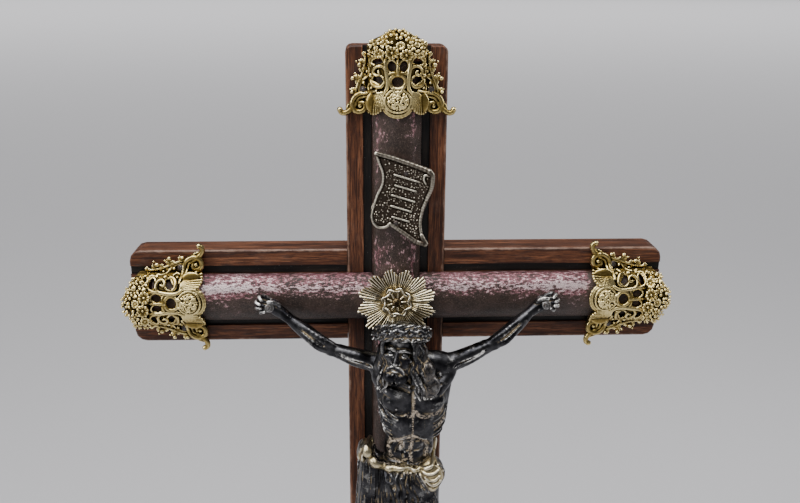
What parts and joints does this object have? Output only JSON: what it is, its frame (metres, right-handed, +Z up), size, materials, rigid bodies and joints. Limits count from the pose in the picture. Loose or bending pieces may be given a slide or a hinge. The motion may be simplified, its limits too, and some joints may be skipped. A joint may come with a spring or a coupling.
{
  "type": "processional cross",
  "caption": "Processional cross with moulded wooden arms, pierced brass end castings, a sunburst, a title scroll, a silvered corpus and a staff socket with a clamp screw.",
  "frame": {"origin": "centre of the staff socket's mouth", "axes": "+Z up the shaft, +X to the right and +Y to the back as seen from the front"},
  "size_m": [0.2701, 0.0676, 0.5063],
  "materials": {
    "wood": "waxed reddish brown, worn",
    "ebonised_wood": "black stain",
    "lacquered_wood": "purple-brown lacquer, crackled and worn",
    "brass": "cast, tarnished in the hollows",
    "pale_brass": "stamped, dull",
    "silvered_metal": "silvered casting, blackened, worn bright on the high places",
    "dark_steel": "dark, oxidised"
  },
  "bodies": {
    "cross": {"shaft_board": "wood", "crossbar_board": "wood", "shaft_inlay_left": "ebonised_wood", "shaft_inlay_right": "ebonised_wood", "crossbar_inlay_upper_left": "ebonised_wood", "crossbar_inlay_upper_right": "ebonised_wood", "crossbar_inlay_lower_left": "ebonised_wood", "crossbar_inlay_lower_right": "ebonised_wood", "shaft_moulding_upper": "lacquered_wood", "shaft_moulding_lower": "lacquered_wood", "crossbar_moulding_left": "lacquered_wood", "crossbar_moulding_right": "lacquered_wood", "casting_top": "brass", "casting_left": "brass", "casting_right": "brass", "foot_collar": "brass", "knop": "brass", "socket_cap": "brass", "staff_socket": "brass", "collar_screw_left": "brass", "collar_screw_right": "brass", "nimbus": "pale_brass", "nimbus_nail": "pale_brass", "title_scroll": "silvered_metal", "corpus_body": "silvered_metal", "corpus_arm_left": "silvered_metal", "corpus_arm_right": "silvered_metal", "crown_of_thorns": "silvered_metal", "casting_pin_top_a": "dark_steel", "casting_pin_top_b": "dark_steel", "casting_pin_left_a": "dark_steel", "casting_pin_left_b": "dark_steel", "casting_pin_right_a": "dark_steel", "casting_pin_right_b": "dark_steel", "title_pin_upper": "dark_steel", "title_pin_lower": "dark_steel", "hand_nail_left": "dark_steel", "hand_nail_right": "dark_steel", "foot_nail": "dark_steel", "lap_screw_1": "dark_steel", "lap_screw_2": "dark_steel", "lap_screw_3": "dark_steel", "lap_screw_4": "dark_steel", "hanger_bolt": "dark_steel"},
    "pad": {"pressure_pad": "brass"},
    "screw": {"clamp_screw": "brass"}
  },
  "joints": [
    {"name": "pad_slide", "type": "slide", "parent": "cross", "child": "pad", "axis": [-1, 0, 0], "range_m": [0, 0.00251]},
    {"name": "screw_turn", "type": "hinge", "parent": "pad", "child": "screw", "pos_m": [0.02, 0, 0.03], "axis": [-1, 0, 0], "range_deg": [0, 900]}
  ],
  "couplings": [
    {"joint": "pad_slide", "follows": "screw_turn", "m_per_rad": 0.00015915}
  ]
}
